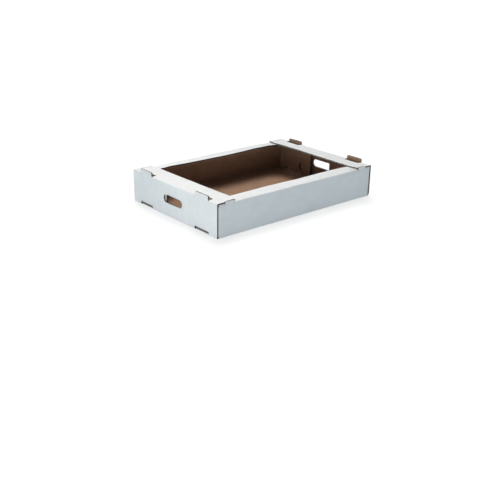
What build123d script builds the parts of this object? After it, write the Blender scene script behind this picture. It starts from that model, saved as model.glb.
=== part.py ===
from build123d import *
from math import pi
import os

# A shallow stacking tray, folded from one die-cut blank of corrugated board. All sizes are in millimetres.
# The tray stands on its floor at z = 0, is longest along X, and is centred on X and Y.

# Overall size of the folded tray, over the outer faces and up to the top of the end ledges
tray_length = 600.0
tray_width = 400.0
tray_height = 98.0

# The board, the inside radius of every fold, and the space between two layers that lie together
board = 4.0
fold_inner_radius = 1.5
layer_gap = 0.3

# Ledges folded inwards at the top, measured from the wall's outer face
end_ledge_depth = 65.0
side_ledge_depth = 40.0
ledge_taper_depth = 5.0
ledge_taper_run = 28.0

# Stacking tabs that stand up from each end wall, cut out of the end ledge
tab_spacing = 265.0
tab_width = 60.0
tab_height = 11.5
tab_side_slope = 2.0
tab_corner_radius = 2.5
cut_clearance = 0.5

# Notches in the bottom of each end wall, which take the tabs of the tray below
notch_side_clearance = 1.0
notch_headroom = 0.5
notch_corner_radius = 6.0
notch_reach_in_floor = 5.3

# Hand hole in each end wall
hand_hole_length = 88.0
hand_hole_height = 24.0
hand_hole_centre = 52.0

# Corner flaps, folded from the ends of the long walls and lying behind the end walls. Past the relief slit
# their lower edge is trimmed, so that it clears the fold between the floor and the end wall.
flap_reach = 161.5
flap_trim = 1.5

# Crescent hole and relief slit in each corner flap. A reach is measured from the long wall's outer face,
# and a height from the floor's underside.
crescent_reach = 119.5
crescent_height = 30.5
crescent_radius = 11.5
crescent_width = 8.0
crescent_angle = 150.0
relief_slit_reach = 41.0
relief_slit_height = 15.0
relief_slit_width = 2.5

# Shoulders of the long walls, which stand beside the end ledges and hold them in line
shoulder_start = 27.0
shoulder_length = 30.0

# Relief at the lower corners of the end walls
corner_relief = 1.5

# Places that follow from the sizes above
fold_outer_radius = fold_inner_radius + board
half_length = tray_length / 2
half_width = tray_width / 2
fold_start = tray_height - fold_outer_radius
side_height = tray_height - board - layer_gap
side_fold_start = side_height - fold_outer_radius
end_fold_start = half_length - fold_outer_radius
flap_face = half_length - board - layer_gap
wall_end = flap_face - fold_outer_radius
side_ledge_end = end_fold_start - layer_gap
flap_bottom = fold_outer_radius + layer_gap
trimmed_flap_bottom = fold_outer_radius + flap_trim
flap_top = side_fold_start - layer_gap
flap_end = half_width - flap_reach
fold_arc = pi / 2 * (fold_inner_radius + board / 2)
tab_top = tray_height + tab_height
notch_width = tab_width + 2 * notch_side_clearance
notch_height = tab_height + notch_headroom
shoulder_rise = tray_height - side_fold_start

signs = (-1, 1)
overlap = 1.0


def block(x_range, y_range, z_range):
    """A box given by its lowest and highest x, y and z."""
    size = [high - low for low, high in (x_range, y_range, z_range)]
    middle = [(high + low) / 2 for low, high in (x_range, y_range, z_range)]
    return Pos(*middle) * Box(*size)


def span(sign, near, far):
    """The range from near to far, on the side that sign names."""
    return (near, far) if sign > 0 else (-far, -near)


def folded_ring(plane, width, height):
    """The section of a sheet folded round a rectangle, with every fold at the board's own radius."""
    outside = RectangleRounded(width, height, fold_outer_radius)
    inside = RectangleRounded(width - 2 * board, height - 2 * board, fold_inner_radius)
    return plane * (outside - inside)


def floor_with_long_walls():
    """Floor, long walls and side ledges: one channel, folded along X."""
    section = folded_ring(Plane.YZ, tray_width, side_height)
    channel = Pos(0, 0, side_height / 2) * extrude(section, amount=side_ledge_end, both=True)
    mouth = half_width - side_ledge_depth
    channel -= block((-half_length, half_length), (-mouth, mouth), (side_height / 2, tray_height))
    # Between their two folds the walls stop where the corner flaps begin to turn
    for sign in signs:
        end = span(sign, wall_end, half_length)
        channel -= block(end, (-half_width, half_width), (fold_outer_radius, side_fold_start))
    return channel


def end_walls():
    """End walls, end ledges and the floor between them, folded along Y."""
    section = folded_ring(Plane.XZ, tray_length, tray_height)
    wrap = Pos(0, 0, tray_height / 2) * extrude(section, amount=half_width, both=True)
    mouth = half_length - end_ledge_depth
    wrap -= block((-mouth, mouth), (-half_width, half_width), (tray_height / 2, tray_height + overlap))
    for side in signs:
        # The floor stops where the long walls' lower folds begin, and the lower corners are relieved
        strip = span(side, half_width - fold_outer_radius, half_width + overlap)
        wrap -= block((-end_fold_start, end_fold_start), strip, (-overlap, fold_outer_radius))
        corner = span(side, half_width - corner_relief, half_width + overlap)
        wrap -= block((-half_length, half_length), corner, (-overlap, fold_outer_radius))
    return wrap


def corner_flap(end, side):
    """A flap that turns inwards from a long wall and lies behind an end wall."""
    ring = folded_ring(Plane.XY, 2 * flap_face, tray_width)
    flap = Pos(0, 0, flap_bottom) * extrude(ring, amount=flap_top - flap_bottom)
    x_range = span(end, wall_end - overlap, half_length)
    return flap & block(x_range, span(side, flap_end, half_width), (0, tray_height))


def tab_outline(width, height, slope, radius):
    """A tab or notch outline in its own plane, standing on the origin with its upper corners rounded."""
    half = width / 2
    outline = Polygon((-half, 0), (half, 0), (half - slope, height), (-half + slope, height), align=None)
    upper = outline.vertices().sort_by(Axis.Y)[-2:]
    return fillet(upper, min(radius, height / 2))


def through_end_wall(outline, end, centre_y, base_z, x_near, x_far):
    """An outline in the end wall's plane, made solid between two distances from the tray's middle."""
    start = Plane(origin=(x_near if end > 0 else -x_far, centre_y, base_z), x_dir=(0, 1, 0), z_dir=(1, 0, 0))
    return extrude(start * outline, amount=x_far - x_near)


def stacking_tab(end, centre_y):
    """A tab that carries the end wall straight up through its ledge."""
    outline = tab_outline(tab_width, tab_top - fold_start, tab_side_slope, tab_corner_radius)
    return through_end_wall(outline, end, centre_y, fold_start, half_length - board, half_length)


def tab_cut(end, centre_y):
    """The hole that the tab leaves in the end ledge, as deep as the tab is high."""
    width = tab_width + 2 * cut_clearance
    depth = fold_outer_radius + (tab_top - fold_start) - fold_arc + cut_clearance
    outline = tab_outline(width, depth, tab_side_slope, tab_corner_radius)
    place = Plane(origin=(end * half_length, centre_y, fold_start), x_dir=(0, -end, 0), z_dir=(0, 0, 1))
    return extrude(place * outline, amount=fold_outer_radius + overlap)


def notch(end, centre_y):
    """A notch in the end wall's lower edge, open through the fold and a little of the floor."""
    outline = tab_outline(notch_width, notch_height + overlap, 0, notch_corner_radius)
    x_near = half_length - notch_reach_in_floor
    return through_end_wall(outline, end, centre_y, -overlap, x_near, half_length + overlap)


def hand_hole(end):
    """The stadium-shaped hand hole in the middle of an end wall."""
    outline = SlotOverall(hand_hole_length, hand_hole_height)
    x_near = half_length - board - layer_gap / 2
    return through_end_wall(outline, end, 0, hand_hole_centre, x_near, half_length + overlap)


def flap_holes(end, side):
    """The crescent hole, the relief slit and the trimmed lower edge of a corner flap."""
    near, far = flap_face - board - overlap, flap_face + layer_gap / 2
    # The crescent bulges towards the long wall
    middle_angle = 0 if side > 0 else 180
    arc = CenterArc((0, 0), crescent_radius, middle_angle - crescent_angle / 2, crescent_angle)
    crescent = SlotArc(arc, crescent_width)
    crescent_y = side * (half_width - crescent_reach)
    holes = through_end_wall(crescent, end, crescent_y, crescent_height, near, far)
    slit_near = half_width - relief_slit_reach - relief_slit_width / 2
    slit_y_range = span(side, slit_near, slit_near + relief_slit_width)
    holes += block(span(end, near, far), slit_y_range, (flap_bottom - overlap, relief_slit_height))
    trim_y_range = span(side, flap_end - overlap, half_width - relief_slit_reach)
    holes += block(span(end, near, far), trim_y_range, (flap_bottom - overlap, trimmed_flap_bottom))
    return holes


def shoulder(end, side):
    """A stub of the long wall that stands up beside the end ledge, level with its top."""
    near = half_length - shoulder_start - shoulder_length
    x_range = span(end, near, near + shoulder_length)
    y_range = span(side, half_width - board, half_width)
    return block(x_range, y_range, (side_fold_start - overlap, tray_height))


def shoulder_cut(end, side):
    """The hole that the shoulder leaves in the side ledge, as deep as the shoulder is high."""
    near = half_length - shoulder_start - shoulder_length - cut_clearance
    x_range = span(end, near, near + shoulder_length + 2 * cut_clearance)
    depth = fold_outer_radius + shoulder_rise - fold_arc
    y_range = span(side, half_width - depth, half_width + overlap)
    return block(x_range, y_range, (side_fold_start, side_height + overlap))


def ledge_notch(end, side):
    """The notch in the end ledge's side edge that the shoulder stands in."""
    near = half_length - shoulder_start - shoulder_length - cut_clearance
    x_range = span(end, near, near + shoulder_length + 2 * cut_clearance)
    inner = half_width - board - layer_gap
    return block(x_range, span(side, inner, half_width + overlap), (side_height, tray_height + overlap))


def ledge_taper(end, side):
    """The sliver trimmed off the end ledge's inner corner."""
    inner = half_length - end_ledge_depth
    corners = [(end * inner, side * (half_width - ledge_taper_run)),
               (end * (inner - overlap), side * (half_width - ledge_taper_run)),
               (end * (inner - overlap), side * (half_width + overlap)),
               (end * (inner + ledge_taper_depth), side * (half_width + overlap)),
               (end * (inner + ledge_taper_depth), side * half_width)]
    sliver = make_face(Polyline(*corners, close=True))
    return extrude(Pos(0, 0, side_height) * sliver, amount=board + 2 * overlap, dir=(0, 0, 1))


def folded_tray():
    """The whole blank, folded: one sheet, so one solid."""
    ends = end_walls()
    sides = floor_with_long_walls()
    flaps = []
    for end in signs:
        ends -= hand_hole(end)
        for side in signs:
            centre_y = side * tab_spacing / 2
            ends -= tab_cut(end, centre_y)
            ends -= ledge_notch(end, side)
            ends -= ledge_taper(end, side)
            ends += stacking_tab(end, centre_y)
            sides -= shoulder_cut(end, side)
            sides += shoulder(end, side)
            flaps.append(corner_flap(end, side) - flap_holes(end, side))
    tray = ends + sides
    for flap in flaps:
        tray += flap
    for end in signs:
        for side in signs:
            tray -= notch(end, side * tab_spacing / 2)
    return tray.clean()


os.makedirs("parts", exist_ok=True)
tray = folded_tray()
print("solids", len(tray.solids()), "volume", round(tray.volume), "size", tray.bounding_box().size)
export_step(tray.solids()[0], "parts/folded_tray.step")
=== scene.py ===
import bpy
import bmesh
import math
from mathutils import Matrix, Vector


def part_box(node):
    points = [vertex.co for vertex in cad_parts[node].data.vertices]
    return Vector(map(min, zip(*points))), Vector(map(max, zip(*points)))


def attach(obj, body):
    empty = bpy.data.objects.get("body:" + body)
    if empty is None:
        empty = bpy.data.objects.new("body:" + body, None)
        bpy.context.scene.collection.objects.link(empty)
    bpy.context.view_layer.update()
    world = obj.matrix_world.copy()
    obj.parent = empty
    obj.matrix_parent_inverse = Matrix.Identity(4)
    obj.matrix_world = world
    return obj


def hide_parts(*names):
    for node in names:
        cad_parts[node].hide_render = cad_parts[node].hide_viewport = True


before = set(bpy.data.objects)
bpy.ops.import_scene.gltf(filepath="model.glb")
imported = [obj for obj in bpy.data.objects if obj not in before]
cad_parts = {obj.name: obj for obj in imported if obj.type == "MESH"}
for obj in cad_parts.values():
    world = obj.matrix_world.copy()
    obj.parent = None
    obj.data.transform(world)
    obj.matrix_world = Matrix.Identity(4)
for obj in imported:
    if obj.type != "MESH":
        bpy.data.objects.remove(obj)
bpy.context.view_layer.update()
print("frame loaded")

mm = 0.001
trayLow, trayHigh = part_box("folded_tray")


# The board and the die-cut blank, in millimetres. The blank lies flat with its kraft side up,
# its length along X, and it is cut in one quarter, mirrored twice and then folded.
blank = {
    "thickness": 4.0,
    "insideRadius": 1.5,       # of every fold
    "layerGap": 0.3,           # between two layers that lie together
    "kerf": 0.5,               # width of a cut round a tab
    "tabHeight": 11.5,         # above the end ledge
    "tabWidth": 60.0,
    "tabSpacing": 265.0,
    "tabSlope": 2.0,
    "tabCorner": 2.5,
    "notchWidth": 62.0,
    "notchHeight": 12.0,
    "notchInFloor": 5.3,
    "notchCorner": 6.0,
    "handHoleLength": 88.0,
    "handHoleHeight": 24.0,
    "handHoleCentre": 52.0,
    "endLedgeDepth": 65.0,
    "sideLedgeDepth": 40.0,
    "taperDepth": 5.0,
    "taperRun": 28.0,
    "shoulderStart": 27.0,
    "shoulderLength": 30.0,
    "cornerRelief": 1.5,
    "flapReach": 161.5,
    "flapTrim": 1.5,           # off the flap's lower edge, past the relief slit
    "crescentReach": 119.5,
    "crescentHeight": 30.5,
    "crescentRadius": 11.5,
    "crescentWidth": 8.0,
    "crescentAngle": 150.0,
    "slitReach": 41.0,
    "slitHeight": 15.0,
    "slitWidth": 2.5,
    "cell": 8.0,               # size of a mesh cell on the flat panels
    "foldSteps": 12,           # mesh rows round a fold
    "foldSquareness": 3.6,     # 2 is a round fold, more is a sharper one
    "roundSteps": 8,           # mesh edges round a cut corner
    "holeRounding": 0.998,     # of the hand hole's half height, for its ends
    "tipRounding": 0.9,        # of the crescent's half width, for its tips
    "sharpAngle": 35.0,        # degrees, above which an edge is drawn sharp
    "sliceGap": 1e-5,          # a score line this near a corner goes through it
    "seamGap": 1e-4,           # faces this near a middle line are taken out before mirroring
    "weldGap": 1e-3,           # corners this near each other are welded there
}

# How the folds spring back: millimetres that a ledge's inner edge stands above its fold,
# at places along that edge. The side ledges are tucked under the end ledges beyond 235.
springBack = {
    "nearEnd": [(-200, 2.0), (-160, 1.9), (-100, 1.0), (-20, 0.8), (60, 0.4), (200, 0.8)],
    "farEnd": [(-200, 1.6), (-150, 1.7), (-80, 2.3), (0, 3.4), (60, 4.6), (120, 4.4), (200, 4.0)],
    "nearSide": [(-294, 0.0), (-235, 1.5), (-150, 2.4), (-110, 3.2), (-40, 3.0), (30, 1.8),
                 (80, 2.9), (130, 3.4), (190, 3.2), (235, 1.4), (294, 0.0)],
    "farSide": [(-294, 0.0), (-238, 0.5), (-229, 3.6), (-190, 4.8), (-130, 3.8), (20, 3.4),
                (75, 4.2), (150, 6.2), (190, 6.2), (235, 3.8), (294, 0.0)],
    # how far the far walls' tops stand above their own height
    "farSideCrest": [(-294, 0.0), (-235, 0.0), (-150, 2.2), (-70, 2.0), (10, 3.8), (90, 4.0),
                     (180, 4.6), (235, 2.6), (294, 2.4)],
    "farEndCrest": [(-200, 0.0), (-60, 0.6), (60, 1.2), (200, 2.4)],
    # degrees by which the corner flaps stand off the end walls, by the signs of x and y
    "flapLean": {(-1, -1): 0.4, (-1, 1): 0.6, (1, -1): 1.8, (1, 1): 4.6},
}


def stations(half, height, depth):
    # Distances from the middle of the blank, along a strip that ends in a ledge
    outside = blank["insideRadius"] + blank["thickness"]
    arc = math.pi / 2 * (blank["insideRadius"] + blank["thickness"] / 2)
    floorEnd = half - outside
    foot = floorEnd + arc
    head = foot + height - 2 * outside
    root = head + arc
    return {"floorEnd": floorEnd, "foot": foot, "head": head, "root": root,
            "edge": root + depth - outside}


halfLength = trayHigh.x / mm
halfWidth = trayHigh.y / mm
halfBoard = blank["thickness"] / 2
outsideRadius = blank["insideRadius"] + blank["thickness"]
middleRadius = blank["insideRadius"] + halfBoard
endHeight = trayHigh.z / mm - blank["tabHeight"]
sideHeight = endHeight - blank["thickness"] - blank["layerGap"]
endStrip = stations(halfLength, endHeight, blank["endLedgeDepth"])
sideStrip = stations(halfWidth, sideHeight, blank["sideLedgeDepth"])

# Places on the blank that follow from the strips
wallEnd = halfLength - blank["thickness"] - blank["layerGap"] - outsideRadius
sideLedgeEnd = halfLength - outsideRadius - blank["layerGap"]
flapRoot = wallEnd + sideStrip["foot"] - sideStrip["floorEnd"]
flapEnd = flapRoot + blank["flapReach"] - outsideRadius
flapBottom = sideStrip["foot"] + blank["layerGap"]
trimmedBottom = sideStrip["foot"] + blank["flapTrim"]
flapTop = sideStrip["head"] - blank["layerGap"]
slitMiddle = flapRoot + blank["slitReach"] - outsideRadius
tabTop = endStrip["head"] + blank["tabHeight"] + outsideRadius
tabCentre = blank["tabSpacing"] / 2
shoulderTop = sideStrip["head"] + endHeight - (sideHeight - outsideRadius)
shoulderMiddle = halfLength - blank["shoulderStart"] - blank["shoulderLength"] / 2
shoulderNear = shoulderMiddle - blank["shoulderLength"] / 2
shoulderFar = shoulderMiddle + blank["shoulderLength"] / 2


def blankOutline():
    # One quarter of the blank's outline, anticlockwise from its middle
    earEnd = halfWidth - blank["cornerRelief"]
    return [
        (0, 0),
        (endStrip["edge"], 0),
        (endStrip["edge"], halfWidth - blank["taperRun"]),
        (endStrip["edge"] - blank["taperDepth"], halfWidth),
        (endStrip["foot"], halfWidth),
        (endStrip["foot"], earEnd),
        (endStrip["floorEnd"], earEnd),
        (endStrip["floorEnd"], sideStrip["floorEnd"]),
        (sideLedgeEnd, sideStrip["floorEnd"]),
        (sideLedgeEnd, sideStrip["foot"]),
        (wallEnd, sideStrip["foot"]),
        (wallEnd, flapBottom),
        (slitMiddle, flapBottom),
        (slitMiddle, trimmedBottom),
        (flapEnd, trimmedBottom),
        (flapEnd, flapTop),
        (wallEnd, flapTop),
        (wallEnd, sideStrip["head"]),
        (sideLedgeEnd, sideStrip["head"]),
        (sideLedgeEnd, sideStrip["edge"]),
        (0, sideStrip["edge"]),
    ]


def thicken(bm, faces, depth):
    # Makes a plate of faces that lie at -depth: it reaches up to the same height above the middle
    raised = bmesh.ops.extrude_face_region(bm, geom=faces)["geom"]
    bmesh.ops.translate(bm, verts=[g for g in raised if isinstance(g, bmesh.types.BMVert)],
                        vec=(0, 0, 2 * depth))


def plate(bm, points, depth, rounded=(), radius=0.0):
    # A flat plate of the outline, with the numbered corners rounded
    low = [bm.verts.new((x, y, -depth)) for x, y in points]
    face = bm.faces.new(low)
    if rounded:
        corners = [low[i] for i in rounded]
        bmesh.ops.bevel(bm, geom=corners, offset=radius, offset_type="OFFSET", affect="VERTICES",
                        segments=blank["roundSteps"], profile=0.5, material=-1, clamp_overlap=False)
        bm.faces.ensure_lookup_table()
        face = bm.faces[-1]
    thicken(bm, [face], depth)


def tongueCut(bm, near, far, cross, width, slope, radius, turned):
    # The U-shaped cut that leaves a tongue standing: near to far along the strip, cross its middle
    half = width / 2
    kerf = blank["kerf"]
    points = [(near, -half - kerf), (far + kerf, -half - kerf + slope),
              (far + kerf, half + kerf - slope), (near, half + kerf),
              (near, half), (far, half - slope), (far, -half + slope), (near, -half)]
    placed = [(cross + y, x) if turned else (x, cross + y) for x, y in points]
    cutter = bmesh.new()
    plate(cutter, placed, blank["thickness"], (1, 2, 5, 6) if radius else (), radius)
    addTo(bm, cutter)


def holeCut(bm, low, high, radius=0.0, rounded=(0, 1, 2, 3)):
    # A rectangular hole, with rounded corners where a radius is given
    points = [(low[0], low[1]), (high[0], low[1]), (high[0], high[1]), (low[0], high[1])]
    cutter = bmesh.new()
    plate(cutter, points, blank["thickness"], rounded if radius else (), radius)
    addTo(bm, cutter)


def addTo(bm, other):
    # Moves one bmesh's geometry into another, with its faces pointing outwards
    bmesh.ops.recalc_face_normals(other, faces=other.faces[:])
    mesh = bpy.data.meshes.new("cutter")
    other.to_mesh(mesh)
    other.free()
    bm.from_mesh(mesh)
    bpy.data.meshes.remove(mesh)


def crescentCut(bm):
    # A bent slot in the corner flap, bulging towards the long wall
    radius = blank["crescentRadius"]
    half = blank["crescentWidth"] / 2
    centreX = flapRoot + blank["crescentReach"] - outsideRadius
    centreY = sideStrip["foot"] + blank["crescentHeight"] - outsideRadius
    turn = math.radians(blank["crescentAngle"])
    start = math.pi - turn / 2
    cutter = bmesh.new()
    ends = [cutter.verts.new((centreX + r * math.cos(start), centreY + r * math.sin(start),
                              -blank["thickness"])) for r in (radius - half, radius + half)]
    edge = cutter.edges.new(ends)
    bmesh.ops.spin(cutter, geom=[edge], cent=(centreX, centreY, 0), axis=(0, 0, 1), angle=turn,
                   steps=2 * blank["roundSteps"], use_merge=False)
    tips = [v for v in cutter.verts if len(v.link_edges) == 2]
    bmesh.ops.bevel(cutter, geom=tips, offset=blank["tipRounding"] * half, offset_type="OFFSET",
                    affect="VERTICES", segments=blank["roundSteps"] // 2, profile=0.5, material=-1,
                    clamp_overlap=False)
    thicken(cutter, cutter.faces[:], blank["thickness"])
    addTo(bm, cutter)


def allCuts():
    # Every hole of one quarter of the blank, as one set of cutters
    bm = bmesh.new()
    tongueCut(bm, endStrip["head"], tabTop, tabCentre, blank["tabWidth"], blank["tabSlope"],
              blank["tabCorner"], False)
    tongueCut(bm, sideStrip["head"], shoulderTop, shoulderMiddle, blank["shoulderLength"],
              0.0, 0.0, True)
    notchHalf = blank["notchWidth"] / 2
    holeCut(bm, (halfLength - blank["notchInFloor"], tabCentre - notchHalf),
            (endStrip["foot"] + blank["notchHeight"] - outsideRadius, tabCentre + notchHalf),
            blank["notchCorner"], (1, 2))
    holeMiddle = endStrip["foot"] + blank["handHoleCentre"] - outsideRadius
    holeHalf = blank["handHoleHeight"] / 2
    holeCut(bm, (holeMiddle - holeHalf, -blank["handHoleLength"] / 2),
            (holeMiddle + holeHalf, blank["handHoleLength"] / 2), blank["holeRounding"] * holeHalf)
    ledgeRun = endStrip["root"] + halfLength - outsideRadius
    besideShoulder = halfWidth - blank["thickness"] - blank["layerGap"]
    holeCut(bm, (ledgeRun - shoulderFar - blank["kerf"], besideShoulder),
            (ledgeRun - shoulderNear + blank["kerf"], halfWidth + blank["thickness"]))
    slitHalf = blank["slitWidth"] / 2
    holeCut(bm, (slitMiddle - slitHalf, sideStrip["foot"] + blank["layerGap"] / 2),
            (slitMiddle + slitHalf, sideStrip["foot"] + blank["slitHeight"] - outsideRadius))
    crescentCut(bm)
    return bm


def scoreLine(bm, axis, place):
    # Splits every face that the line crosses
    point, normal = [0.0] * 3, [0.0] * 3
    point[axis], normal[axis] = place, 1.0
    bmesh.ops.bisect_plane(bm, geom=bm.verts[:] + bm.edges[:] + bm.faces[:],
                           dist=blank["sliceGap"], plane_co=point, plane_no=normal)


def cellLines(marks):
    # The marks themselves, and even steps between each two of them
    lines = []
    marks = sorted(set(marks))
    for start, end in zip(marks, marks[1:]):
        steps = max(1, round((end - start) / blank["cell"]))
        lines += [start + (end - start) * i / steps for i in range(steps)]
    return lines[1:]


def foldLines(strip):
    # The marks of a strip: its panels' ends, and rows close together round its folds
    marks = [strip["floorEnd"], strip["head"], strip["edge"]]
    for start, end in (("floorEnd", "foot"), ("head", "root")):
        for i in range(1, blank["foldSteps"] + 1):
            marks.append(strip[start] + (strip[end] - strip[start]) * i / blank["foldSteps"])
    return marks


def flatBlank():
    quarter = bmesh.new()
    plate(quarter, blankOutline(), halfBoard)
    bmesh.ops.recalc_face_normals(quarter, faces=quarter.faces[:])
    steps = blank["foldSteps"]
    flapFold = [wallEnd + (flapRoot - wallEnd) * i / steps for i in range(steps + 1)]
    for place in cellLines([0.0] + foldLines(endStrip) + flapFold):
        scoreLine(quarter, 0, place)
    for place in cellLines([0.0] + foldLines(sideStrip)):
        scoreLine(quarter, 1, place)
    plain = bpy.data.meshes.new("blankQuarter")
    quarter.to_mesh(plain)
    quarter.free()
    cuts = bpy.data.meshes.new("blankCuts")
    cutters = allCuts()
    cutters.to_mesh(cuts)
    cutters.free()
    body = bpy.data.objects.new("blankQuarter", plain)
    tool = bpy.data.objects.new("blankCuts", cuts)
    for thing in (body, tool):
        bpy.context.scene.collection.objects.link(thing)
    cutting = body.modifiers.new("dieCut", "BOOLEAN")
    cutting.operation = "DIFFERENCE"
    cutting.solver = "EXACT"
    cutting.object = tool
    graph = bpy.context.evaluated_depsgraph_get()
    cutMesh = bpy.data.meshes.new_from_object(body.evaluated_get(graph))
    whole = bmesh.new()
    whole.from_mesh(cutMesh)
    for thing in (body, tool):
        bpy.data.objects.remove(thing)
    for mesh in (plain, cuts, cutMesh):
        bpy.data.meshes.remove(mesh)
    # The quarter is opened along its two middle lines and mirrored across them
    for axis in (0, 1):
        seam = [f for f in whole.faces
                if all(abs(v.co[axis]) < blank["seamGap"] for v in f.verts)]
        bmesh.ops.delete(whole, geom=seam, context="FACES")
        bmesh.ops.mirror(whole, geom=whole.verts[:] + whole.edges[:] + whole.faces[:],
                         axis="XY"[axis], merge_dist=0.0)
        bmesh.ops.remove_doubles(whole, verts=whole.verts[:], dist=blank["weldGap"])
    bmesh.ops.recalc_face_normals(whole, faces=whole.faces[:])
    return whole


def smoothBetween(points, place):
    # A gentle curve through the points, level at each of them
    if place <= points[0][0]:
        return points[0][1]
    for (start, low), (end, high) in zip(points, points[1:]):
        if place <= end:
            t = (place - start) / (end - start)
            return low + (high - low) * t * t * (3 - 2 * t)
    return points[-1][1]


def foldReach(lift, angle):
    # Distance from a fold's centre, at an angle round it
    power = blank["foldSquareness"]
    spread = (abs(math.cos(angle)) ** power + abs(math.sin(angle)) ** power) ** (1 / power)
    return (middleRadius - lift) / spread


def roll(strip, along, lift, rise, crest):
    # Folds a strip up at its wall and in at its ledge. Gives the distance outwards, the height,
    # and how far round a fold the place is. lift is measured from the board's middle, inwards,
    # crest stretches the wall, and the ledge's edge is at the height of rise above a flat ledge.
    if along <= strip["floorEnd"]:
        return along, halfBoard + lift, 0.0
    if along <= strip["foot"]:
        share = (along - strip["floorEnd"]) / (strip["foot"] - strip["floorEnd"])
        angle = share * math.pi / 2
        reach = foldReach(lift, angle)
        return (strip["floorEnd"] + reach * math.sin(angle),
                outsideRadius - reach * math.cos(angle), math.sin(math.pi * share))
    wall = strip["head"] - strip["foot"]
    if along <= strip["head"]:
        height = (along - strip["foot"]) * (1 + crest / wall)
        return strip["floorEnd"] + foldReach(lift, 0.0), outsideRadius + height, 0.0
    share = min(1.0, (along - strip["head"]) / (strip["root"] - strip["head"]))
    angle = share * (math.pi / 2 - math.asin((rise - crest) / (strip["edge"] - strip["root"])))
    reach = foldReach(lift, angle)
    past = max(0.0, along - strip["root"])
    return (strip["floorEnd"] + reach * math.cos(angle) - past * math.sin(angle),
            outsideRadius + wall + crest + reach * math.sin(angle) + past * math.cos(angle),
            math.sin(math.pi * share))


def onTongue(along, across, far, half, radius):
    # Whether a place on the blank belongs to a tongue and not to the board round it
    slack = blank["kerf"] / 2
    left, beside = far - along, half - across
    if left > radius or beside > radius:
        return left > -slack and beside > -slack
    return math.hypot(radius - left, radius - beside) < radius + slack


def folded(place):
    # Where a point of the flat blank goes, and how far round a fold it is
    signX = -1 if place.x < 0 else 1
    signY = -1 if place.y < 0 else 1
    x, y, lift = abs(place.x), abs(place.y), place.z
    slack = blank["kerf"] / 2
    upTab = (x - endStrip["head"]) / (tabTop - endStrip["head"])
    tabHalf = blank["tabWidth"] / 2 - blank["tabSlope"] * upTab
    onTab = x > endStrip["head"] and onTongue(x, abs(y - tabCentre), tabTop, tabHalf,
                                              blank["tabCorner"])
    onShoulder = y > sideStrip["head"] and onTongue(y, abs(x - shoulderMiddle), shoulderTop,
                                                    blank["shoulderLength"] / 2, 0.0)
    if x > endStrip["floorEnd"] - slack and y < halfWidth + blank["layerGap"] / 2:
        crest = smoothBetween(springBack["farEndCrest"], place.y) if signX > 0 else 0.0
        if onTab:
            out, height, _ = roll(endStrip, endStrip["head"], lift, 0.0, crest)
            shrink = 1 - crest / (tabTop - endStrip["head"])
            return Vector((signX * out, place.y, height + (x - endStrip["head"]) * shrink)), 0.0
        rise = smoothBetween(springBack["nearEnd" if signX < 0 else "farEnd"], place.y)
        out, height, crease = roll(endStrip, x, lift, rise, crest)
        return Vector((signX * out, place.y, height)), crease
    crest = smoothBetween(springBack["farSideCrest"], place.x) if signY > 0 else 0.0
    if x > wallEnd and flapBottom - slack < y < flapTop + slack / 2:
        out, height, _ = roll(sideStrip, y, 0.0, 0.0, crest)
        share = min(1.0, (x - wallEnd) / (flapRoot - wallEnd))
        angle = share * math.radians(90.0 + springBack["flapLean"][signX, signY])
        reach = foldReach(lift, angle)
        past = max(0.0, x - flapRoot)
        out = wallEnd + reach * math.sin(angle) + past * math.cos(angle)
        inward = sideStrip["floorEnd"] + reach * math.cos(angle) - past * math.sin(angle)
        return Vector((signX * out, signY * inward, height)), math.sin(math.pi * share)
    if y > sideStrip["floorEnd"]:
        if onShoulder:
            out, height, _ = roll(sideStrip, sideStrip["head"], lift, 0.0, crest)
            return Vector((place.x, signY * out, height + y - sideStrip["head"])), 0.0
        rise = smoothBetween(springBack["nearSide" if signY < 0 else "farSide"], place.x)
        out, height, crease = roll(sideStrip, y, lift, rise, crest)
        return Vector((place.x, signY * out, height)), crease
    return Vector((place.x, place.y, halfBoard + lift)), 0.0


def foldedBoard(materials):
    bm = flatBlank()
    untidy = [f for f in bm.faces if len(f.verts) > 4]
    bmesh.ops.triangulate(bm, faces=untidy)
    flat = bm.verts.layers.float_vector.new("blank")
    crease = bm.verts.layers.float.new("crease")
    across = bm.faces.layers.float.new("across")
    rubbed = bm.faces.layers.float.new("rubbed")
    for face in bm.faces:
        up = face.normal.z
        face[across] = face.normal.y ** 2
        overTop = abs(abs(face.calc_center_median().y) - shoulderTop)
        face[rubbed] = 1.0 if overTop < blank["kerf"] / 4 and face[across] > 0.5 else 0.0
        face.material_index = 1 if up > 0.5 else 0 if up < -0.5 else 2   # kraft, white, raw edge
        face.smooth = True
    for vert in bm.verts:
        vert[flat] = vert.co * mm
        vert.co, vert[crease] = folded(vert.co)
    bmesh.ops.scale(bm, verts=bm.verts[:], vec=(mm, mm, mm))
    mesh = bpy.data.meshes.new("foldedBoard")
    bm.to_mesh(mesh)
    bm.free()
    for material in materials:
        mesh.materials.append(material)
    mesh.set_sharp_from_angle(angle=math.radians(blank["sharpAngle"]))
    piece = bpy.data.objects.new("foldedBoard", mesh)
    bpy.context.scene.collection.objects.link(piece)
    return piece


# Shared paper effects

def newGroup(name, inputs, outputs):
    group = bpy.data.node_groups.new(name, "ShaderNodeTree")
    for label, kind, value in inputs:
        socket = group.interface.new_socket(name=label, in_out="INPUT", socket_type=kind)
        if value is not None:
            socket.default_value = value
    for label, kind in outputs:
        group.interface.new_socket(name=label, in_out="OUTPUT", socket_type=kind)
    entry = group.nodes.new("NodeGroupInput")
    leave = group.nodes.new("NodeGroupOutput")
    return group, entry, leave


def mathNode(tree, operation, *values):
    node = tree.nodes.new("ShaderNodeMath")
    node.operation = operation
    for socket, value in zip(node.inputs, values):
        if isinstance(value, (int, float)):
            socket.default_value = value
        else:
            tree.links.new(value, socket)
    return node.outputs[0]


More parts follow.
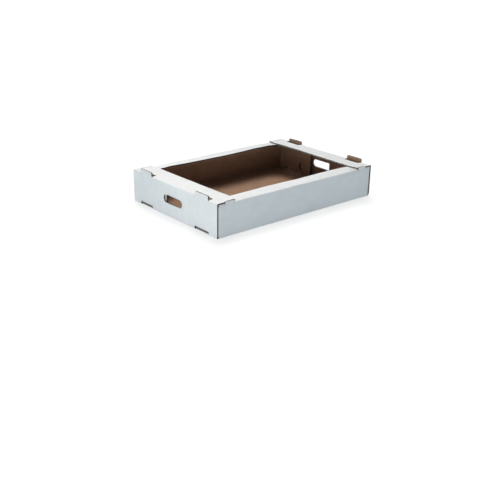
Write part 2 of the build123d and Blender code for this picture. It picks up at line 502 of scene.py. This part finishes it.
def rangeNode(tree, value, fromLow, fromHigh, toLow, toHigh):
    node = tree.nodes.new("ShaderNodeMapRange")
    node.clamp = True
    for socket, given in zip(node.inputs, (value, fromLow, fromHigh, toLow, toHigh)):
        if isinstance(given, (int, float)):
            socket.default_value = given
        else:
            tree.links.new(given, socket)
    return node.outputs[0]


def mixColour(tree, factor, first, second):
    node = tree.nodes.new("ShaderNodeMix")
    node.data_type = "RGBA"
    sockets = (node.inputs[0], node.inputs[6], node.inputs[7])
    for socket, given in zip(sockets, (factor, first, second)):
        if isinstance(given, bpy.types.NodeSocket):
            tree.links.new(given, socket)
        elif isinstance(given, (int, float)):
            socket.default_value = given
        else:
            socket.default_value = (*given, 1.0)
    return node.outputs[2]


def splitNode(tree, value):
    node = tree.nodes.new("ShaderNodeSeparateXYZ")
    tree.links.new(value, node.inputs[0])
    return node.outputs


def noiseNode(tree, place, scale, detail, stretch=(1.0, 1.0, 1.0), roughness=0.5):
    mapping = tree.nodes.new("ShaderNodeMapping")
    mapping.inputs["Scale"].default_value = stretch
    tree.links.new(place, mapping.inputs["Vector"])
    node = tree.nodes.new("ShaderNodeTexNoise")
    tree.links.new(mapping.outputs[0], node.inputs["Vector"])
    node.inputs["Scale"].default_value = scale
    node.inputs["Detail"].default_value = detail
    node.inputs["Roughness"].default_value = roughness
    return node.outputs["Fac"]


# The paper's noises, each with its scale, detail, stretch and roughness. Lengths are in metres.
grain = {
    "fibre": (900.0, 5.0, (0.16, 1.0, 1.0), 0.65),
    "cloud": (55.0, 4.0, (0.6, 1.0, 1.0), 0.6),
    "speck": (700.0, 2.0, (0.5, 1.0, 1.0), 0.5),
    "speckRange": (0.66, 0.74),            # the noise at which a speck begins and is full
    "torn": (160.0, 3.0, (1.0, 1.0, 4.0), 0.6),
    "tornRange": (0.42, 0.62),
    "fibreRange": (0.3, 0.7),              # most of the fibre noise lies between these
    "flutePitch": 0.0078,
    "fluteDrift": (14.0, 1.0),
    "driftReach": 0.003,                   # how far the drift moves a flute
}


def fluteGroup():
    # The wave of the board's inner ply, which runs across the blank's length
    group, entry, leave = newGroup("fluteWave", [("Place", "NodeSocketVector", None),
                                                 ("Pitch", "NodeSocketFloat", grain["flutePitch"])],
                                   [("Wave", "NodeSocketFloat")])
    along = splitNode(group, entry.outputs["Place"])["X"]
    drift = noiseNode(group, entry.outputs["Place"], *grain["fluteDrift"])
    moved = mathNode(group, "MULTIPLY_ADD", drift, grain["driftReach"], along)
    turns = mathNode(group, "DIVIDE", moved, entry.outputs["Pitch"])
    wave = mathNode(group, "SINE", mathNode(group, "MULTIPLY", turns, 2 * math.pi))
    group.links.new(wave, leave.inputs["Wave"])
    return group


def fibreGroup():
    # Paper fibres drawn out along the blank's length, clouds of lighter pulp, and dark flecks
    group, entry, leave = newGroup("paperFibre", [("Place", "NodeSocketVector", None)],
                                   [("Fibre", "NodeSocketFloat"), ("Cloud", "NodeSocketFloat"),
                                    ("Fleck", "NodeSocketFloat")])
    place = entry.outputs["Place"]
    fibre = noiseNode(group, place, *grain["fibre"])
    cloud = noiseNode(group, place, *grain["cloud"])
    speck = noiseNode(group, place, *grain["speck"])
    fleck = rangeNode(group, speck, *grain["speckRange"], 0.0, 1.0)
    group.links.new(fibre, leave.inputs["Fibre"])
    group.links.new(cloud, leave.inputs["Cloud"])
    group.links.new(fleck, leave.inputs["Fleck"])
    return group


def useGroup(tree, group, place):
    node = tree.nodes.new("ShaderNodeGroup")
    node.node_tree = group
    tree.links.new(place, node.inputs["Place"])
    return node.outputs


def attributeNode(tree, name):
    node = tree.nodes.new("ShaderNodeAttribute")
    node.attribute_name = name
    return node


def newMaterial(name, specular):
    material = bpy.data.materials.new(name)
    material.use_nodes = True
    tree = material.node_tree
    shader = tree.nodes["Principled BSDF"]
    shader.inputs["Specular IOR Level"].default_value = specular
    return material, tree, shader


def bumpInto(tree, shader, height, distance):
    bump = tree.nodes.new("ShaderNodeBump")
    bump.inputs["Strength"].default_value = 1.0
    bump.inputs["Distance"].default_value = distance
    tree.links.new(height, bump.inputs["Height"])
    tree.links.new(bump.outputs[0], shader.inputs["Normal"])


whitePaper = {
    "pale": (0.838, 0.841, 0.843),
    "grey": (0.797, 0.80, 0.802),
    "creased": (0.66, 0.66, 0.655),
    "fleck": (0.60, 0.60, 0.60),
    "cloudRange": (0.35, 0.7),
    "ridge": 0.12,             # how strongly the flutes tint it
    "flecks": 0.25,
    "wearRange": (0.42, 0.62),             # the fibre noise at which a fold wears
    "wear": 0.55,
    "roughness": (0.62, 0.78),
    "specular": 0.05,
    "waveRelief": 0.3,         # of the fibres' relief
    "relief": 0.00006,
}


def whiteLiner(flutes, fibres):
    material, tree, shader = newMaterial("whiteLiner", whitePaper["specular"])
    place = attributeNode(tree, "blank").outputs["Vector"]
    paper = useGroup(tree, fibres, place)
    wave = useGroup(tree, flutes, place)["Wave"]
    cloudy = rangeNode(tree, paper["Cloud"], *whitePaper["cloudRange"], 0.0, 1.0)
    tone = mixColour(tree, cloudy, whitePaper["pale"], whitePaper["grey"])
    ridge = rangeNode(tree, wave, -1.0, 1.0, 0.0, whitePaper["ridge"])
    tone = mixColour(tree, ridge, tone, whitePaper["grey"])
    flecked = mathNode(tree, "MULTIPLY", paper["Fleck"], whitePaper["flecks"])
    tone = mixColour(tree, flecked, tone, whitePaper["fleck"])
    crease = attributeNode(tree, "crease").outputs["Fac"]
    worn = mathNode(tree, "MULTIPLY", crease, paper["Fibre"])
    worn = rangeNode(tree, worn, *whitePaper["wearRange"], 0.0, whitePaper["wear"])
    tone = mixColour(tree, worn, tone, whitePaper["creased"])
    tree.links.new(tone, shader.inputs["Base Color"])
    rough = rangeNode(tree, paper["Fibre"], *grain["fibreRange"], *whitePaper["roughness"])
    tree.links.new(rough, shader.inputs["Roughness"])
    height = mathNode(tree, "MULTIPLY_ADD", wave, whitePaper["waveRelief"], paper["Fibre"])
    bumpInto(tree, shader, height, whitePaper["relief"])
    return material


kraftPaper = {
    "light": (0.36, 0.218, 0.141),
    "dark": (0.26, 0.149, 0.09),
    "fleck": (0.13, 0.075, 0.045),
    # painted shade: the kraft side darkens towards this colour round its folds, in the inner
    # corners where shade falls
    "crease": (0.20, 0.12, 0.075),
    "fibreShare": 0.55,        # of the grain, and the rest is cloud
    "grainRange": (0.36, 0.64),
    "ridge": 0.22,
    "flecks": 0.6,
    "foldShading": 0.6,
    "roughness": (0.78, 0.92),
    "specular": 0.25,
    "waveRelief": 0.8,
    "relief": 0.0001,
}


def kraftLiner(flutes, fibres):
    material, tree, shader = newMaterial("kraftLiner", kraftPaper["specular"])
    place = attributeNode(tree, "blank").outputs["Vector"]
    paper = useGroup(tree, fibres, place)
    wave = useGroup(tree, flutes, place)["Wave"]
    clouds = mathNode(tree, "MULTIPLY", paper["Cloud"], 1 - kraftPaper["fibreShare"])
    mixed = mathNode(tree, "MULTIPLY_ADD", paper["Fibre"], kraftPaper["fibreShare"], clouds)
    lit = rangeNode(tree, mixed, *kraftPaper["grainRange"], 0.0, 1.0)
    tone = mixColour(tree, lit, kraftPaper["dark"], kraftPaper["light"])
    ridge = rangeNode(tree, wave, -1.0, 1.0, 0.0, kraftPaper["ridge"])
    tone = mixColour(tree, ridge, tone, kraftPaper["dark"])
    flecked = mathNode(tree, "MULTIPLY", paper["Fleck"], kraftPaper["flecks"])
    tone = mixColour(tree, flecked, tone, kraftPaper["fleck"])
    # Painted shade: the kraft is drawn darker round every fold, for the shade in the tray's inner
    # corners
    crease = attributeNode(tree, "crease").outputs["Fac"]
    creased = mathNode(tree, "MULTIPLY", crease, kraftPaper["foldShading"])
    tone = mixColour(tree, creased, tone, kraftPaper["crease"])
    tree.links.new(tone, shader.inputs["Base Color"])
    rough = rangeNode(tree, paper["Fibre"], *grain["fibreRange"], *kraftPaper["roughness"])
    tree.links.new(rough, shader.inputs["Roughness"])
    height = mathNode(tree, "MULTIPLY_ADD", wave, kraftPaper["waveRelief"], paper["Fibre"])
    bumpInto(tree, shader, height, kraftPaper["relief"])
    return material


cutBoard = {
    # painted shade: the hollows between the flutes are drawn in this near-black colour, for the
    # shade inside them
    "voidShade": (0.022, 0.017, 0.013),
    "ply": (0.19, 0.145, 0.11),
    "liner": (0.30, 0.265, 0.235),
    "swing": 0.74,             # how far the wave swings, as a share of half the board
    "plyRange": (0.16, 0.256),             # the ply's tone ends between these, off the wave
    "linerRange": (0.80, 0.84),            # and the liner's begins, off the board's middle
    "grime": 0.35,             # how much the fibres darken it
    "crushed": (0.34, 0.335, 0.325),       # where the cut runs along the flutes and flattens them
    "crushedDark": (0.155, 0.13, 0.11),
    "sidePaintedShade": 0.85,         # painted shade: how much darker those edges are past the long walls' folds, where they lie in shadow
    "rubbed": (0.66, 0.65, 0.63),          # the shoulders' tops
    "roughness": 0.95,
    "specular": 0.1,
    "relief": 0.0006,
}


def rawEdge(flutes, fibres):
    # The waved ply, the voids beside it, painted dark for the shade that falls in them, and the two
    # liners, as a cut across the flutes shows them
    material, tree, shader = newMaterial("rawEdge", cutBoard["specular"])
    place = attributeNode(tree, "blank").outputs["Vector"]
    paper = useGroup(tree, fibres, place)
    wave = useGroup(tree, flutes, place)["Wave"]
    split = splitNode(tree, place)
    through = mathNode(tree, "DIVIDE", split["Z"], halfBoard * mm)
    swung = mathNode(tree, "MULTIPLY", wave, cutBoard["swing"])
    away = mathNode(tree, "ABSOLUTE", mathNode(tree, "SUBTRACT", through, swung))
    ply = rangeNode(tree, away, *cutBoard["plyRange"], 1.0, 0.0)
    liner = rangeNode(tree, mathNode(tree, "ABSOLUTE", through), *cutBoard["linerRange"], 0.0, 1.0)
    solid = mathNode(tree, "MAXIMUM", ply, liner)
    tone = mixColour(tree, solid, cutBoard["voidShade"], cutBoard["ply"])
    tone = mixColour(tree, liner, tone, cutBoard["liner"])
    grime = rangeNode(tree, paper["Fibre"], *grain["fibreRange"], cutBoard["grime"], 0.0)
    tone = mixColour(tree, grime, tone, cutBoard["voidShade"])
    torn = rangeNode(tree, noiseNode(tree, place, *grain["torn"]), *grain["tornRange"], 0.0, 1.0)
    crushed = mixColour(tree, torn, cutBoard["crushed"], cutBoard["crushedDark"])
    # Painted shade: past the long walls' folds the crushed edges are drawn darker, towards the
    # voids' colour, for the shadow they lie in
    outwards = mathNode(tree, "ABSOLUTE", split["Y"])
    sideShadeMask = rangeNode(tree, outwards, halfWidth * mm, (halfWidth + halfBoard) * mm,
                       0.0, cutBoard["sidePaintedShade"])
    crushed = mixColour(tree, sideShadeMask, crushed, cutBoard["voidShade"])
    across = attributeNode(tree, "across").outputs["Fac"]
    tone = mixColour(tree, across, crushed, tone)
    rubbed = attributeNode(tree, "rubbed").outputs["Fac"]
    tone = mixColour(tree, rubbed, tone, cutBoard["rubbed"])
    tree.links.new(tone, shader.inputs["Base Color"])
    shader.inputs["Roughness"].default_value = cutBoard["roughness"]
    bumpInto(tree, shader, mathNode(tree, "MULTIPLY", solid, across), cutBoard["relief"])
    return material


flutes = fluteGroup()
fibres = fibreGroup()
materials = [whiteLiner(flutes, fibres), kraftLiner(flutes, fibres), rawEdge(flutes, fibres)]
print("materials made")

boardPiece = foldedBoard(materials)
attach(boardPiece, "root")
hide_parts("folded_tray")
print("board cut and folded:", len(boardPiece.data.polygons), "faces")


# Floor, lamps and camera

studio = {
    "floorHalf": 30.0,
    "floorBelow": 0.0002,      # so that the tray and the floor don't lie in one plane
    "floorColour": (0.34, 0.34, 0.34),
    "floorRoughness": 0.9,
    "glowNear": 0.72,          # added for the camera alone, so that the lit floor is white
    "glowFar": 1.0,
    "glowStart": 0.42,         # distances from the tray's middle
    "glowEnd": 0.95,
    "skyColour": (0.80, 0.925, 1.0),
    "skyHigh": 0.05,
    "horizonAll": 1.5,         # light that comes in low, from every side,
    "horizonEnd": 7.4,         # and more of it towards the near end wall
    "horizonSide": 6.1,        # and the near long wall
    "horizonBand": 0.17,       # sine of the height where that light ends
    "lampColour": (1.0, 0.985, 0.965),
    "topPlace": (0.389, 0.931, 2.684),     # a large lamp overhead, for the ledges and the floor
    "topAim": (-0.52, -0.2, 0.09),
    "topSize": (2.25, 2.25),
    "topSpread": 57.0,
    "topPower": 19.4,
    "frontPlace": (-2.75, -0.5, 1.1),      # a weak one, which looks in over the near end
    "frontAim": (0.0, 0.0, 0.05),
    "frontSize": (1.2, 1.2),
    "frontSpread": 180.0,
    "frontPower": 3.0,
    "fillPlace": (-1.0, -0.35, 0.06),      # and one close to the near corner
    "fillAim": (-0.3, -0.1, 0.05),
    "fillSize": (0.5, 0.1),
    "fillSpread": 180.0,
    "fillPower": 1.4,
}


def seenDirectly(tree):
    # 1 for the camera and what it sees in mirrors and through glass, 0 for light on the tray
    rays = tree.nodes.new("ShaderNodeLightPath").outputs
    through = mathNode(tree, "MAXIMUM", rays["Is Glossy Ray"], rays["Is Transmission Ray"])
    return mathNode(tree, "MAXIMUM", rays["Is Camera Ray"], through)


def studioFloor():
    bm = bmesh.new()
    bmesh.ops.create_grid(bm, x_segments=1, y_segments=1, size=studio["floorHalf"])
    bmesh.ops.translate(bm, verts=bm.verts[:], vec=(0, 0, trayLow.z - studio["floorBelow"]))
    mesh = bpy.data.meshes.new("studioFloor")
    bm.to_mesh(mesh)
    bm.free()
    floor = bpy.data.objects.new("studioFloor", mesh)
    bpy.context.scene.collection.objects.link(floor)
    material, tree, shader = newMaterial("studioFloor", 0.0)
    shader.inputs["Base Color"].default_value = (*studio["floorColour"], 1.0)
    shader.inputs["Roughness"].default_value = studio["floorRoughness"]
    where = tree.nodes.new("ShaderNodeTexCoord")
    away = tree.nodes.new("ShaderNodeVectorMath")
    away.operation = "LENGTH"
    tree.links.new(where.outputs["Object"], away.inputs[0])
    amount = rangeNode(tree, away.outputs["Value"], studio["glowStart"], studio["glowEnd"],
                       studio["glowNear"], studio["glowFar"])
    glow = tree.nodes.new("ShaderNodeEmission")
    tree.links.new(mathNode(tree, "MULTIPLY", seenDirectly(tree), amount), glow.inputs["Strength"])
    both = tree.nodes.new("ShaderNodeAddShader")
    tree.links.new(shader.outputs[0], both.inputs[0])
    tree.links.new(glow.outputs[0], both.inputs[1])
    tree.links.new(both.outputs[0], tree.nodes["Material Output"].inputs["Surface"])
    mesh.materials.append(material)


def studioSky():
    world = bpy.data.worlds.new("studioSky")
    world.use_nodes = True
    bpy.context.scene.world = world
    tree = world.node_tree
    light = tree.nodes["Background"]
    light.inputs["Color"].default_value = (*studio["skyColour"], 1.0)
    where = tree.nodes.new("ShaderNodeTexCoord")
    split = splitNode(tree, where.outputs["Generated"])
    band = rangeNode(tree, split["Z"], 0.0, studio["horizonBand"], 1.0, 0.0)
    fromEnd = mathNode(tree, "MULTIPLY", split["X"], -studio["horizonEnd"])
    fromSide = mathNode(tree, "MULTIPLY", split["Y"], -studio["horizonSide"])
    low = mathNode(tree, "ADD", mathNode(tree, "MAXIMUM", fromEnd, 0.0),
                   mathNode(tree, "MAXIMUM", fromSide, 0.0))
    low = mathNode(tree, "ADD", low, studio["horizonAll"])
    strength = mathNode(tree, "MULTIPLY_ADD", band, low, studio["skyHigh"])
    tree.links.new(strength, light.inputs["Strength"])
    white = tree.nodes.new("ShaderNodeBackground")
    white.inputs["Color"].default_value = (1.0, 1.0, 1.0, 1.0)
    mix = tree.nodes.new("ShaderNodeMixShader")
    tree.links.new(seenDirectly(tree), mix.inputs[0])
    tree.links.new(light.outputs[0], mix.inputs[1])
    tree.links.new(white.outputs[0], mix.inputs[2])
    tree.links.new(mix.outputs[0], tree.nodes["World Output"].inputs["Surface"])


def studioLamp(name):
    lamp = bpy.data.lights.new(name, "AREA")
    lamp.shape = "RECTANGLE"
    lamp.size, lamp.size_y = studio[name + "Size"]
    lamp.spread = math.radians(studio[name + "Spread"])
    lamp.energy = studio[name + "Power"]
    lamp.color = studio["lampColour"]
    holder = bpy.data.objects.new(name, lamp)
    holder.location = studio[name + "Place"]
    turn = holder.location - Vector(studio[name + "Aim"])
    holder.rotation_euler = turn.to_track_quat("Z", "Y").to_euler()
    bpy.context.scene.collection.objects.link(holder)


photoView = {
    "place": (-1.4173, -1.6187, 0.7225),
    "heading": 40.971,         # from +Y towards +X, in degrees
    "lookDown": 22.587,
    "tilt": 1.047,
    "focalPixels": 739.9,
    "photoPixels": 500,
    "sensor": 36.0,
}


def photoCamera():
    heading, down, tilt = (math.radians(photoView[k]) for k in ("heading", "lookDown", "tilt"))
    level = math.cos(down)
    forward = Vector((math.sin(heading) * level, math.cos(heading) * level, -math.sin(down)))
    right = forward.cross(Vector((0, 0, 1))).normalized()
    up = right.cross(forward)
    tiltedRight = right * math.cos(tilt) + up * math.sin(tilt)
    tiltedUp = up * math.cos(tilt) - right * math.sin(tilt)
    turn = Matrix((tiltedRight, tiltedUp, -forward)).transposed().to_4x4()
    data = bpy.data.cameras.new("photoCamera")
    data.sensor_width = photoView["sensor"]
    data.lens = photoView["sensor"] * photoView["focalPixels"] / photoView["photoPixels"]
    camera = bpy.data.objects.new("photoCamera", data)
    camera.matrix_world = Matrix.Translation(photoView["place"]) @ turn
    bpy.context.scene.collection.objects.link(camera)
    bpy.context.scene.camera = camera


studioFloor()
studioSky()
for name in ("top", "front", "fill"):
    studioLamp(name)
photoCamera()
bpy.context.scene.view_settings.view_transform = "Standard"
print("floor, lamps and camera set")
